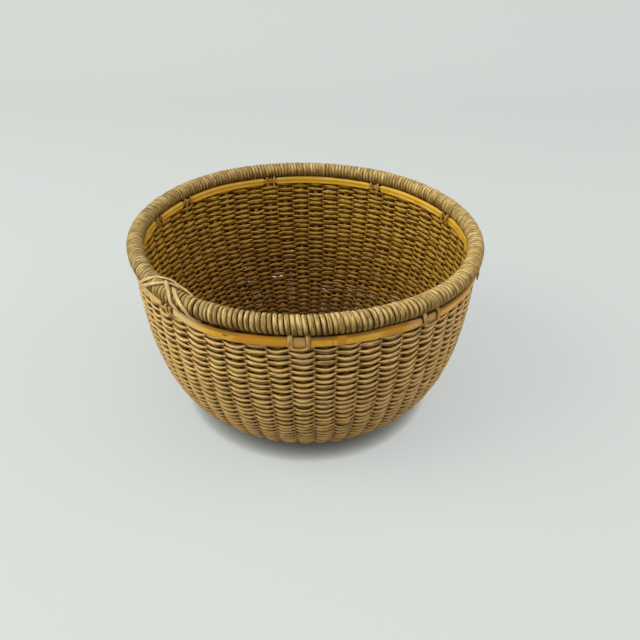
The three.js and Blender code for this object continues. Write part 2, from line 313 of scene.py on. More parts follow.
def weaver_tree():
    """One strand that spirals up the wall, over one stake and under the next. The object's own
    mesh is the wall's middle line, from the foot up or from the hub out, in the XZ plane. The
    side of a strand that faces the wall's middle is pressed flat against its neighbours and
    closes the wall."""
    tree, size = shape_tree("woven weaver", WEAVER_SIZES)
    wall = add_node(tree, "GeometryNodeMeshToCurve", {"Mesh": size["Geometry"]})
    passed, tube, edge, face = long_tube(
        tree, size["Rows"] * size["Stakes"], size["Steps per Stake"],
        size["First Row"] * size["Stakes"], size["Sides"])
    seed, uneven = size["Seed"], size["Unevenness"]

    # The way round and up
    azimuth = size["First Stake"] + passed / size["Stakes"] * math.tau
    wave = cosine(passed * math.pi)
    wave = wave * (1 + size["Squareness"] * (1 - wave * wave))
    rows_up = passed / size["Stakes"] - size["First Row"]
    level = size["First Distance"] + rows_up * size["Row Spacing"]
    right, front = sine(azimuth), cosine(azimuth)
    spread = vector(tree, right * 9.0, front * 9.0, level * 80.0)
    sway = wandering(passed, 0.6, seed, 0.0) * size["Sway"] * (0.3 + level * 8.0)
    drift = (sway + noise(tree, spread) * size["Drift"]) * uneven
    drift = drift - larger(wave, 0.0) * size["Sag"]
    drift = drift * smaller(level / STEADY_REACH, 1.0)
    sample = add_node(
        tree, "GeometryNodeSampleCurve", {"Curves": wall, "Length": level + drift},
        mode="LENGTH", use_all_curves=True)
    radius, _, height = parts_of(tree, Number(tree, sample.outputs["Position"]))
    up_x, _, up_z = parts_of(tree, Number(tree, sample.outputs["Tangent"]))

    # The section's width and thickness
    segment = floor(passed + 0.5)
    stout = (chance(tree, segment, 50.0) - 0.5) * abs(wave) * uneven
    side = sign(wave) * smaller(abs(wave) * 2.2, 1.0)
    swell = wandering(passed, 0.9, seed, 20.0) * uneven
    twist = wandering(passed, 0.8, seed, 40.0) * uneven
    fatness = wandering(passed, 0.5, seed, 60.0) * uneven * size["Fatness"]
    offset = wave * size["Bulge"] * (1 + swell * size["Swell"])
    crossing = held(1 - wave * wave) ** 3
    foot = held(1 - level / FOOT_REACH)
    high = held(level * 8.0 - 0.4)
    facing = face * sign(wave)
    inner = is_below(facing, 0.0)
    slim = larger(side, 0.0) * (1 - inner)
    slimming = foot * size["Foot Slimming"] + size["Inner Widening"] * (1 - high * 0.6)
    half_width = size["Strand Width"] / 2 * (1 + fatness + stout * size["Stoutness"])
    half_width = half_width * (1 - crossing * (1 - foot) * size["Squeeze"])
    half_width = half_width * (1 + larger(-side, 0.0) * size["Inner Widening"])
    half_width = half_width * (1 - slim * slimming)
    half_thick = size["Strand Thickness"] / 2 * (1 + fatness)

    # The section's points, pressed square on the side that closes the wall
    gap_here = is_below(chance(tree, segment, 90.0), size["Pinholes"])
    fill = size["Fill"] - gap_here * size["Pinhole Depth"]
    pressed = inner * smaller(abs(wave) * 2.5 + 0.5, 1.0)
    power = 1 - pressed * (1 - gap_here * 0.6) * size["Pressing"]
    depth = half_thick + (larger(half_thick, abs(offset) + fill) - half_thick) * inner
    flat, deep = boxed(edge, power) * half_width, boxed(face, power) * depth
    tilt = twist * size["Tilt"]
    astray = (chance(tree, segment, 70.0) - 0.5) * abs(wave) * uneven * size["Stray"]
    rise = flat * cosine(tilt) - deep * sine(tilt) + astray
    out = offset + flat * sine(tilt) + deep * cosine(tilt)
    radius = radius + up_x * rise + up_z * out
    height = height + up_z * rise - up_x * out

    # How open to light each point is, for painted shade in the crevices; its tone; and how much
    # painted shade it takes inside the basket and towards the foot
    over_stake = 0.70 + larger(facing, 0.0) * 0.30 + smaller(facing, 0.0) * 0.70
    between = 0.62 + abs(face) * 0.20
    settled = smaller(abs(wave) * 1.7, 1.0)
    open_to_light = between * (1 - settled) + over_stake * settled
    patches = vector(tree, right * 3.0, front * 3.0, level * 12.0)
    mood = wandering(passed, 0.12, seed, 80.0, 2.0) + noise(tree, patches) * 1.5
    within = held(0.5 - out * 500)
    low = held(1 - height / PAINTED_SHADE_REACH)
    low = low * (1 - smaller(larger(0.25 - height / 0.04, 0.0), 0.2))
    painted_shade = 0.5 - (1 - within) * (0.06 + low * 0.44) + within * (0.25 + low * 0.25)
    place = radius * right, -(radius * front), height
    grain = passed * STRAND_PER_STAKE, edge * GRAIN_REACH, face * GRAIN_REACH
    shade = open_to_light, chance(tree, segment, seed) * 0.68 + 0.16 + mood * 0.12, painted_shade
    close_strand(tree, tube, place, grain, shade, size["Material"])
    return tree


# Where the winding has slipped apart: the turn, by how many turns, and over how many it closes up
SLIPPED_TURNS = [(2.22, 0.18, 4), (118.22, 0.20, 6), (226.22, 0.42, 7)]

BINDING_SIZES = {
    "Ring Radius": RIM_RADIUS, "Ring Height": RIM_HEIGHT, "Roll Radius": BINDING_RADIUS,
    "Strand Width": BINDING_STRAND, "Strand Thickness": BINDING_THICKNESS,
    "Turns": BINDING_TURNS, "Lean": BINDING_LEAN, "Crowding": 0.06, "Sway": 0.20, "Stray": 0.05,
    "Lift": 0.00022, "Tilt": 0.28, "Fatness": 1.3, "Width Change": 0.26,
    "Thickness Change": 0.16, "Unevenness": 1.0, "Steps per Turn": 24, "Sides": 8, "Seed": 3,
}


def binding_tree():
    """One strand wound over the rim, closely turn by turn, all the way round."""
    tree, size = shape_tree("rim binding", BINDING_SIZES)
    passed, tube, edge, face = long_tube(
        tree, size["Turns"], size["Steps per Turn"], 0.0, size["Sides"])
    seed, uneven = size["Seed"], size["Unevenness"]

    # A turn's own tone and width change where it goes under the roll, out of sight
    whole_turn = floor(passed + 0.78)
    fatness = (chance(tree, whole_turn, 30.0) - 0.5) * size["Fatness"] * uneven
    sway = wandering(passed, 0.8, seed, 0.0) * uneven
    stray = wandering(passed, 3.0, seed, 10.0) * uneven
    lift = wandering(passed, 1.1, seed, 20.0) * uneven
    tilt = wandering(passed, 1.7, seed, 60.0) * uneven * size["Tilt"]
    roll = passed * -math.tau
    slanted = passed - sine(roll - math.radians(60)) * size["Lean"]
    slipped = 0.0
    for turn, width, reach in SLIPPED_TURNS:
        past = (passed - turn) / reach
        slipped = slipped + width * larger(1 - past, 0.0) * (1 - is_below(past, 0.0))
    turns = slanted + slipped + sway * size["Sway"] + stray * size["Stray"]
    azimuth = turns * (math.tau / size["Turns"])
    azimuth = azimuth + sine(azimuth) * size["Crowding"]
    half_width = size["Strand Width"] / 2 * (1 + fatness * size["Width Change"])
    half_thick = size["Strand Thickness"] / 2 * (1 + fatness * size["Thickness Change"])
    flat, deep = edge * half_width, face * half_thick
    sideways = flat * cosine(tilt) - deep * sine(tilt)
    out = size["Roll Radius"] - size["Strand Thickness"] / 2 + lift * size["Lift"]
    out = out + flat * sine(tilt) + deep * cosine(tilt)
    radius = size["Ring Radius"] + cosine(roll) * out
    height = size["Ring Height"] + sine(roll) * out
    azimuth = azimuth + sideways / size["Ring Radius"]
    # Painted shade on each turn's inner face and over the roll's lower half
    open_to_light = (face * 0.5 + 0.5) * (0.80 + sine(roll) * 0.20)
    mood = wandering(passed, 0.7, seed, 80.0, 2.0)
    place = radius * sine(azimuth), -(radius * cosine(azimuth)), height
    grain = passed * STRAND_PER_TURN, edge * GRAIN_REACH, face * GRAIN_REACH
    shade = open_to_light, chance(tree, whole_turn, seed) * 0.48 + 0.26 + mood * 0.2, 0.5
    close_strand(tree, tube, place, grain, shade, size["Material"])
    return tree


STRAND_SIZES = {"Sides": 8, "Squareness": 1.0, "Groove": 0.0, "Dome": 0.0}


def laid_tree():
    """Strands laid along the object's own lines, whose points hold the directions across and
    through the strand, its width and its thickness. Squareness 1 gives an oval section."""
    tree, size = shape_tree("laid strand", STRAND_SIZES)
    lines = add_node(tree, "GeometryNodeMeshToCurve", {"Mesh": size["Geometry"]})
    tube, edge, face = skin(tree, lines, size["Sides"])
    power = 1 / size["Squareness"]
    flat, deep = boxed(edge, power), boxed(face, power)
    outer = sign(larger(face, 0.0))
    sunk = larger(1 - abs(flat) * 4.0, 0.0) * size["Groove"] * outer
    domed = (1 - flat * flat) * size["Dome"] * outer
    ways = [stored(tree, name, "FLOAT_VECTOR") for name in ("centre", "across", "through")]
    centre, across, through = (parts_of(tree, way) for way in ways)
    width, thickness, along = (stored(tree, name) for name in ("width", "thickness", "along"))
    sideways = flat * width / 2
    out = deep * thickness / 2 - sunk + domed
    mood = noise(tree, vector(tree, along * 60.0, 3.0, 0.0), 2.0)
    low = held(1 - centre[2] / 0.02)
    place = [c + a * sideways + t * out for c, a, t in zip(centre, across, through)]
    grain = along, flat * (width / 2), deep * (width / 2)
    # Painted shade on the face that looks away from the through direction, and near the floor
    shade = 0.62 + deep * 0.38, 0.5 + mood * 0.4, 0.5 + low * 0.6
    close_strand(tree, tube, place, grain, shade, size["Material"])
    return tree


def in_scene(name, data):
    """A new object with that data, linked into the scene."""
    thing = bpy.data.objects.new(name, data)
    bpy.context.scene.collection.objects.link(thing)
    return thing


def grown(name, tree, sizes, material, lines=None):
    """The plain mesh that a shape tree makes with these sizes, as a new object."""
    carrier_mesh = lines or bpy.data.meshes.new(name + "_lines")
    carrier = in_scene(name + "_carrier", carrier_mesh)
    modifier = carrier.modifiers.new("shape", "NODES")
    modifier.node_group = tree
    values = {**sizes, "Material": material}
    for item in tree.interface.items_tree:
        if item.in_out == "INPUT" and item.name in values:
            modifier[item.identifier] = values[item.name]
    depsgraph = bpy.context.evaluated_depsgraph_get()
    mesh = bpy.data.meshes.new_from_object(
        carrier.evaluated_get(depsgraph), preserve_all_data_layers=True, depsgraph=depsgraph)
    bpy.data.objects.remove(carrier)
    bpy.data.meshes.remove(carrier_mesh)
    mesh.name = name
    shell = bmesh.new()
    shell.from_mesh(mesh)
    bmesh.ops.recalc_face_normals(shell, faces=shell.faces)
    shell.to_mesh(mesh)
    shell.free()
    return in_scene(name, mesh)


# Outlines and directions
def outwards(azimuth):
    angle = np.radians(azimuth)
    return np.stack([np.sin(angle), -np.cos(angle), np.zeros_like(angle)], axis=-1)


def along_rim(azimuth):
    angle = np.radians(azimuth)
    return np.stack([np.cos(angle), np.sin(angle), np.zeros_like(angle)], axis=-1)


def unit(vectors):
    return vectors / np.linalg.norm(vectors, axis=1)[:, None]


def at_polar(azimuth, radius, height):
    spot = outwards(azimuth) * np.asarray(radius)[..., None]
    spot[..., 2] = height
    return spot


def wall_middle(angle):
    """Radius and height of the wall's middle, from the rim at angle 0 to the foot at 90."""
    across, down = np.cos(np.radians(angle)), np.sin(np.radians(angle))
    spread = RIM_RADIUS + HALF_WEAVE - REST_RADIUS
    radius = REST_RADIUS + spread * across ** WALL_FULLNESS
    height = RIM_HEIGHT * (1 - down ** WALL_FULLNESS)
    normal_r = RIM_HEIGHT * down ** (WALL_FULLNESS - 1) * across
    normal_z = -spread * across ** (WALL_FULLNESS - 1) * down
    size = np.hypot(normal_r, normal_z)
    return radius - HALF_WEAVE * normal_r / size, height - HALF_WEAVE * normal_z / size


def wall_line(top):
    """Radius and height along the wall's middle line, from the foot to the angle at which the
    wall's outer face has a height."""
    angle = math.degrees(math.asin((1 - top / RIM_HEIGHT) ** (1 / WALL_FULLNESS)))
    return np.stack(wall_middle(np.linspace(89.99, angle, 240)), axis=1)


def length_along(points):
    return np.concatenate([[0.0], np.cumsum(np.linalg.norm(np.diff(points, axis=0), axis=1))])


def line_mesh(name, lines, **values):
    """A mesh of open lines, with a value or a vector for each point of each line."""
    mesh = bpy.data.meshes.new(name)
    edges, first = [], 0
    for line in lines:
        edges += [(first + i, first + i + 1) for i in range(len(line) - 1)]
        first += len(line)
    mesh.from_pydata(np.concatenate(lines).tolist(), edges, [])
    for label, per_line in values.items():
        flat = np.concatenate(per_line).astype(np.float32)
        kind, way = ("FLOAT_VECTOR", "vector") if flat.ndim == 2 else ("FLOAT", "value")
        mesh.attributes.new(label, kind, "POINT").data.foreach_set(way, flat.ravel())
    return mesh


def laid(name, strands, material, sizes=STRAND_SIZES):
    """Strands along given routes. Each is (points, across, through, width, thickness)."""
    lines = [strand[0] for strand in strands]
    values = {"along": [length_along(line) + GRAIN_SHIFT * i for i, line in enumerate(lines)]}
    for order, label in enumerate(("centre", "across", "through", "width", "thickness")):
        values[label] = [
            np.broadcast_to(s[order], s[0].shape if order < 3 else len(s[0])) for s in strands]
    mesh = line_mesh(name + "_lines", lines, **values)
    return grown(name, LAID, {**STRAND_SIZES, **sizes}, material, mesh)


# Finishes
def shader(name, roughness):
    material = bpy.data.materials.new(name)
    material.use_nodes = True
    surface = material.node_tree.nodes["Principled BSDF"]
    surface.inputs["Roughness"].default_value = roughness
    return material, material.node_tree, surface


def ramp(tree, factor, stops):
    node = add_node(tree, "ShaderNodeValToRGB", {"Fac": factor})
    elements = node.color_ramp.elements
    while len(elements) < len(stops):
        elements.new(0.5)
    for element, (position, code) in zip(elements, stops):
        element.position = position
        element.color = linear(code)
    return node


def mixed(tree, factor, first, second, way="MIX"):
    node = tree.nodes.new("ShaderNodeMix")
    node.data_type = "RGBA"
    node.blend_type = way
    feed(tree, node.inputs[0], factor)
    feed(tree, node.inputs[6], first)
    feed(tree, node.inputs[7], second)
    return Number(tree, node.outputs[2])


def tinted(tree, colour, share, code):
    return mixed(tree, share, colour, linear(code))


def attribute_parts(tree, name):
    node = add_node(tree, "ShaderNodeAttribute", attribute_name=name)
    return parts_of(tree, Number(tree, node.outputs["Vector"]))


def streaky(tree, place, along, across, deep, detail):
    """Noise with so many bumps to a metre in each direction of the grain."""
    paces = zip(place, (along, across, deep))
    return noise(tree, vector(tree, *[part * pace for part, pace in paces]), detail)


def raise_fibres(tree, surface, height, strength):
    bump = {"Height": height, "Strength": strength, "Distance": FIBRE_DEPTH}
    feed(tree, surface.inputs["Normal"], add_node(tree, "ShaderNodeBump", bump))


def cane(name, tones, crevice_shade, fibred=0.35, lit_side=0.0, painted_light=0.0):
    """Split cane: each stretch of a strand has its own tone, with fine fibres along it. It may
    have a painted highlight along its lit side and painted shade along the other. It has painted
    shade where it lies deep between its neighbours, inside the basket and towards the foot."""
    material, tree, surface = shader(name, 0.5)
    grain = attribute_parts(tree, "grain")
    open_to_light, tone, painted_shade = attribute_parts(tree, "shade")
    patch = streaky(tree, grain, 130.0, 500.0, 500.0, 2.0)
    fibres = streaky(tree, grain, 160.0, 1000.0, 1000.0, 3.0)
    colour = ramp(tree, tone + patch * 0.17, tones)
    colour = tinted(tree, colour, held((fibres - 0.02) * 9.0) * fibred, DARK_FIBRE)
    colour = tinted(tree, colour, held((-0.04 - fibres) * 9.0) * fibred * 0.5, LIGHT_FIBRE)
    # A painted highlight along the lit side, and painted shade along the other
    if painted_light:
        side = grain[1] * (lit_side / GRAIN_REACH) + patch * 0.15
        colour = tinted(tree, colour, held((side - 0.6) * 4.0) * painted_light, PAINTED_HIGHLIGHT_CANE)
        colour = tinted(tree, colour, held((0.45 - side) * 1.2) * painted_light, PAINTED_SHADE_CANE)
    # Painted shade in the crevices
    colour = mixed(tree, 1.0, colour, ramp(tree, open_to_light + patch * 0.05, crevice_shade), "MULTIPLY")
    # Painted shade inside the basket and towards the foot
    colour = mixed(tree, 1.0, colour, ramp(tree, painted_shade, PAINTED_SHADE_TINTS), "MULTIPLY")
    feed(tree, surface.inputs["Base Color"], colour)
    # Less sheen where the crevices hold painted shade
    feed(tree, surface.inputs["Specular IOR Level"], smaller(open_to_light * open_to_light, 1.0) * 0.32)
    raise_fibres(tree, surface, fibres, 0.3)
    return material


def peel(name, tones, edge, marks=()):
    """Split peel: satin, streaked along its length, with painted shade on the side that faces the
    wall.
    Each mark is a place along the strip, half its length, the place across and half its breadth
    there, a colour and a strength."""
    material, tree, surface = shader(name, 0.45)
    along, across, deep = grain = attribute_parts(tree, "grain")
    patch = streaky(tree, grain, 60.0, 160.0, 0.0, 3.0)
    streaks = streaky(tree, grain, 45.0, 1900.0, 900.0, 3.0)
    colour = ramp(tree, patch * 0.5 + 0.5, tones)
    colour = tinted(tree, colour, larger(streaks, 0.0) * 0.42, edge)
    for place, reach, middle, breadth, code, strength in marks:
        near = larger(1 - abs(along - place) / reach, 0.0)
        near = near * larger(1 - abs(across - middle) / breadth, 0.0)
        colour = tinted(tree, colour, smaller(near * 2.0, 1.0) * strength, code)
    # Painted shade on the side that faces the wall
    colour = tinted(tree, colour, held((-0.0005 - deep) * 2000.0) * 0.85, PEEL_PAINTED_SHADE)
    feed(tree, surface.inputs["Base Color"], colour)
    surface.inputs["Specular IOR Level"].default_value = 0.3
    raise_fibres(tree, surface, streaks, 0.25)
    return material


def plain_cane(name, dark, light):
    """Cane that hardly shows: one tone with soft patches."""
    material, tree, surface = shader(name, 0.7)
    place = Number(tree, add_node(tree, "ShaderNodeTexCoord").outputs["Object"])
    patch = streaky(tree, parts_of(tree, place), 180.0, 180.0, 180.0, 2.0)
    colour = ramp(tree, patch * 0.5 + 0.5, [(0.2, dark), (0.8, light)])
    feed(tree, surface.inputs["Base Color"], colour)
    return material


DARK_FIBRE, LIGHT_FIBRE = "6f5530", "fadc98"
# A painted highlight along a strand's lit side, and painted shade along the other
PAINTED_HIGHLIGHT_CANE, PAINTED_SHADE_CANE = "fee0a6", "504014"
# Painted shade for a strip's side that faces the wall
PEEL_PAINTED_SHADE = "3a260c"
# Painted shade, multiplied into the cane: outside at the foot, outside at the top and on the rim,
# in the wall's middle, inside at the top and inside at the foot
PAINTED_SHADE_TINTS = [(0.0, "baa484"), (0.5, "f2eae0"), (0.52, "ffffff"), (0.75, "d0bc70"), (1.0, "a48644")]
WEAVER_TONES = [(0.04, "9a7a24"), (0.2, "caa238"), (0.36, "e0b244"), (0.5, "d09a28"),
                (0.64, "ecc05c"), (0.8, "f4c46c"), (0.96, "b89a36")]
BINDING_TONES = [(0.04, "988448"), (0.22, "bea666"), (0.42, "d6bd7e"), (0.6, "b69e5a"),
                 (0.8, "e8d09a"), (0.95, "c6a662")]
STAKE_TONES = [(0.1, "8c6c2c"), (0.5, "a6843c"), (0.9, "ba9a50")]
LASHING_TONES = [(0.1, "9a7632"), (0.5, "c09448"), (0.9, "d4ac64")]
TIE_TONES = [(0.1, "b49c66"), (0.5, "d2b884"), (0.9, "e4cea0")]
OUTER_PEEL_TONES = [(0.08, "cc8a10"), (0.4, "e4a424"), (0.65, "eeb23c"), (0.95, "f6c870")]
INNER_PEEL_TONES = [(0.1, "d89c14"), (0.5, "f0b62e"), (0.9, "ffd860")]
# Marks on the strips: lines along all of them outside and inside, which are painted shade and
# painted highlights, then single ones on the back strip and the front one, where they are worn,
# have a knot or a crack, or lashings have rubbed
ALL_ALONG, ALL_ACROSS = 50.0, 0.02
# Outside: a painted shadow under the roll along the top, and a painted highlight along the lower
# edge
PAINTED_LIGHT_LINES_OUTSIDE = [(0.0, ALL_ALONG, 0.0042, 0.0034, "6e4410", 0.8),
              (0.0, ALL_ALONG, -0.0032, 0.0010, "f6cc80", 0.4)]
# Inside: painted shade in the groove, and a painted highlight along the upper edge
PAINTED_LIGHT_LINES_INSIDE = [(0.0, ALL_ALONG, 0.0, 0.0008, "a46c08", 0.6),
               (0.0, ALL_ALONG, 0.0020, 0.0007, "ffe08c", 0.6)]
BACK_MARKS = [(0.66, 0.06, 0.0, ALL_ACROSS, "dcb46e", 0.8),
              (0.0032, 0.0062, 0.0, ALL_ACROSS, "c0905a", 0.85)]
FRONT_MARKS = [
    (0.0, 0.03, 0.0, ALL_ACROSS, "f0c488", 0.8),
    (0.044, 0.003, 0.0006, 0.001, "6a300c", 0.9),
    (0.059, 0.015, -0.0008, 0.006, "c98008", 0.8),
    (0.076, 0.018, -0.001, 0.006, "cf8c10", 0.9),
    (0.0928, 0.0062, 0.0, ALL_ACROSS, "bc9458", 0.75),
    (0.114, 0.0007, 0.0, ALL_ACROSS, "8a5a26", 0.45),
    (0.12, 0.004, 0.0, ALL_ACROSS, "c8861e", 0.9),
    (0.156, 0.012, -0.001, 0.006, "c07c20", 0.7),
    (0.176, 0.012, 0.0, ALL_ACROSS, "d8a068", 0.6),
]
# Painted shade in the crevices of the weave, multiplied in by how open to light a point is
WEAVE_CREVICE_SHADE = [(0.10, "6c4e1e"), (0.40, "8c6c38"), (0.60, "c8b284"), (0.78, "ffffff")]
# Painted shade on a stake's face that looks away from its through direction
STAKE_PAINTED_SHADE = [(0.2, "a08050"), (0.8, "ffffff")]
# Painted shade on the roll's turns where they face in and under the roll, and on the back faces of
# the lashings and the tie
ROLL_CREVICE_SHADE = [(0.15, "6a4e2a"), (0.5, "b0946a"), (0.72, "e6dac2"), (0.9, "ffffff")]


# Hand-made unevenness
def smooth_step(value, low, high):
    share = np.clip((value - low) / (high - low), 0, 1)
    return share * share * (3 - 2 * share)


def round_curve(azimuth, points):
    """A smooth closed curve of azimuth through given (azimuth, value) points."""
    places, values = np.array(points, float).T
    places = np.concatenate([places - 360, places, places + 360])
    values = np.tile(values, 3)
    turned = (np.asarray(azimuth) + 180) % 360 - 180
    right = np.clip(np.searchsorted(places, turned), 1, len(places) - 1)
    share = smooth_step(turned, places[right - 1], places[right])
    return values[right - 1] * (1 - share) + values[right] * share


# How much higher than level the strips and the top rows lie, by azimuth
TOP_LIFT = [(-180, 0.0022), (-120, 0.0022), (-70, 0.0028), (-50, 0.0033), (-39, 0.0031),
            (-29, 0.0006), (-19, 0.0002), (-10, 0.0011), (-3, 0.0018), (8, 0.0022), (22, 0.0026),
            (36, 0.0015), (60, 0.0008), (110, 0.0018)]
# How much further out the rim lies than a true circle, by azimuth
OUT_OF_ROUND = [(-180, 0.0), (-140, 0.0022), (-100, 0.0), (-64, -0.0014), (-20, 0.0), (60, 0.0),
                (120, 0.0)]
# How much higher than level the roll lies, by azimuth
ROLL_LIFT = [(-180, 0.0), (-35, 0.0), (-15, 0.0006), (0, 0.0012), (12, 0.0019), (26, 0.0019),
             (40, 0.0011), (60, 0.0), (120, 0.0)]
# How far the foot lies to the right of the rim's middle, and how far points stray sideways
LEAN = 0.0016
SIDEWAYS_STRAY = 0.0005
# Between which heights the lift of the top rows and that of the roll set in
TOP_ROWS = (0.085, 0.131)
ROLL_FOOT = (0.138, 0.150)


def settle(piece, lifted=1.0):
    """Moves a piece's points as the whole basket has settled: lean, roundness and top rows."""
    mesh = piece.data
    points = np.empty(len(mesh.vertices) * 3, np.float32)
    mesh.vertices.foreach_get("co", points)
    points = points.reshape(-1, 3).astype(float)
    azimuth = np.degrees(np.arctan2(points[:, 0], -points[:, 1]))
    height = points[:, 2]
    turned = np.radians(azimuth)
    stray = (np.sin(5 * turned + 31 * height) + 0.7 * np.sin(11 * turned + 1.3 - 57 * height)
             + 0.5 * np.sin(23 * turned + 2.1 + 40 * height))
    share = smooth_step(height, 0.0, RIM_HEIGHT)
    beside = SIDEWAYS_STRAY * stray * smooth_step(height, 0.002, 0.03)
    beside = beside * smooth_step(height, 0.150, 0.125)
    points[:, 2] += lifted * smooth_step(height, *TOP_ROWS) * round_curve(azimuth, TOP_LIFT)
    points[:, 2] += smooth_step(height, *ROLL_FOOT) * round_curve(azimuth, ROLL_LIFT)
    points += along_rim(azimuth) * beside[:, None]
    points += outwards(azimuth) * (round_curve(azimuth, OUT_OF_ROUND) * share)[:, None]
    points[:, 0] += LEAN * (1 - share)
    mesh.vertices.foreach_set("co", points.astype(np.float32).ravel())
    mesh.update()


def fit_piece(piece, slot, *nodes, lifted=1.0):
    settle(piece, lifted)
    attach(piece, "root")
    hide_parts(*nodes)


# Wall and base
def weave(name, line, material, node, sizes, lifted=1.0):
    """A piece of weaving whose middle is a line of radii and heights."""
    lines = line_mesh(name, [np.insert(line, 1, 0.0, axis=1)])
    piece = grown(name, WEAVER, {**WEAVER_SIZES, **sizes}, material, lines)
    fit_piece(piece, "weaver_cane", node, lifted=lifted)


def weave_wall(material):
    """The wall in bands of equal rows, each a length of weaver that starts where one ends."""
    line = wall_line(ROLL_UNDERSIDE - 0.002)
    length = np.interp(WEAVE_TOP, line[:, 1], length_along(line))
    rows = round(length / ROW_SPACING)
    spacing = length / rows
    join = np.interp(WEAVER_JOIN_HEIGHT, line[:, 1], length_along(line))
    lower = round(join / spacing)
    bands = [("foot", 0, lower // 2), ("lower", lower // 2, lower),
             ("middle", lower, (lower + rows) // 2), ("upper", (lower + rows) // 2, rows)]
    for place, first, last in bands:
        node = "woven_wall_lower" if last <= lower else "woven_wall_upper"
        weave("weaver_" + place, line, material, node, {
            "First Row": first, "Rows": last - first, "Row Spacing": spacing,
            "First Distance": first * spacing}, lifted=0.75)


def weave_base(material):
    line = np.array([[HUB_RADIUS + BASE_ROW_SPACING / 2, HALF_WEAVE], [REST_RADIUS, HALF_WEAVE]])
    breadth = line[1, 0] - line[0, 0]
    rows = round(breadth / BASE_ROW_SPACING)
    weave("weaver_base", line, material, "woven_base", {
        "Rows": rows, "Row Spacing": breadth / rows, "Strand Width": BASE_WEAVER_WIDTH,
        "Strand Thickness": BASE_WEAVER_THICKNESS, "Squareness": 0.5, "Seed": 9})


# Spokes
def stake_line(azimuth):
    """One stake from the hub out along the base and up to the roll's underside. It takes every
    third point of the wall's line, counted from the top."""
    wall = wall_line(ROLL_UNDERSIDE - 0.0003)[::-3][::-1]
    radius = np.concatenate([np.linspace(HUB_EDGE, REST_RADIUS, 8)[:-1], wall[:, 0]])
    height = np.concatenate([np.full(7, HALF_WEAVE), wall[:, 1]])
    return at_polar(np.full(len(radius), azimuth), radius, height)


def hub_line(layer, order, near, far):
    """A spoke's straight way across the hub, under one spoke of the other layer and over the
    next, between the two azimuths at which it leaves."""
    count, other = SPOKE_LAYERS[layer], SPOKE_LAYERS[1 - layer]
    half = (other - 1) / 2 * SPOKE_PITCH
    turn = stake_azimuth((SPOKE_LAYERS[0] - 1) / 2) + 90 * layer
    forward, sideways = outwards(turn), along_rim(turn)
    shift = (order - (count - 1) / 2) * SPOKE_PITCH
    distance = np.linspace(-half, half, 6 * other)
    wave = np.cos(math.pi * (distance / SPOKE_PITCH + (other - 1) / 2 + order))
    rise = (1 - 2 * layer) * wave * (1.5 - 0.5 * wave ** 2) * SPOKE_RISE
    points = distance[:, None] * forward + shift * sideways
    points[:, 2] = HALF_WEAVE + rise
    ends = []
    for side, azimuth in ((-1, far), (1, near)):
        start = forward * side * half + sideways * shift
        finish = outwards(azimuth) * HUB_EDGE
        reach = np.linalg.norm(finish - start)
        share = np.linspace(0, 1, 12)[1:-1, None]
        pull_out = start + forward * side * reach * SPOKE_BEND
        pull_in = finish - outwards(azimuth) * reach * SPOKE_BEND
        bend = ((1 - share) ** 3 * start + 3 * (1 - share) ** 2 * share * pull_out
                + 3 * (1 - share) * share ** 2 * pull_in + share ** 3 * finish)
        bend[:, 2] = HALF_WEAVE
        ends.append(bend)
    return np.concatenate([ends[0][::-1], points, ends[1]])


def flat_strand(points):
    """Directions, width and thickness along a spoke that lies flat on the base and the wall."""
    tangent = unit(np.gradient(points, axis=0))
    plan = unit(tangent * [1, 1, 0])
    across = np.stack([-plan[:, 1], plan[:, 0], np.zeros(len(plan))], axis=1)
    through = np.cross(tangent, across)
    radius = np.hypot(points[:, 0], points[:, 1])
    crowded = smooth_step(radius, 0.115, 0.066)
    crowded = crowded * smooth_step(radius, HUB_RADIUS - 0.008, HUB_RADIUS + 0.004)
    width = STAKE_WIDTH + (CROWDED_STAKE_WIDTH - STAKE_WIDTH) * crowded
    thickness = STAKE_THICKNESS - CROWDED_STAKE_THINNING * crowded
    thickness = np.where(radius < HUB_RADIUS, HUB_SPOKE_THICKNESS, thickness)
    return points, across, through, width, thickness


def lay_spokes(material):
    """The spokes, each with the two stakes that it becomes, and the one added stake."""
    opposite = SPOKE_LAYERS[0] + SPOKE_LAYERS[1]
    strands = []
    for layer, count in enumerate(SPOKE_LAYERS):
        first = SPOKE_LAYERS[0] * layer
        for order in range(count):
            near = stake_azimuth(first + order)
            far = stake_azimuth(first + opposite + count - 1 - order)
            line = np.concatenate([
                stake_line(far)[::-1], hub_line(layer, order, near, far), stake_line(near)])
            strands.append(flat_strand(line))
    strands.append(flat_strand(stake_line(stake_azimuth(STAKES - 1))))
    piece = laid("spokes", strands, material, {"Sides": 12, "Squareness": 2.4})
    nodes = [f"spoke_{number:02d}" for number in range(1, len(strands))]
    fit_piece(piece, "stake_cane", *nodes, "added_stake")


# Rim
def wind_rim(material):
    piece = grown("rim_winding", BINDING, BINDING_SIZES, material)
    fit_piece(piece, "binding_cane", "rim_binding", lifted=0.0)


def arc(degrees, radius):
    return degrees * math.radians(1) * radius


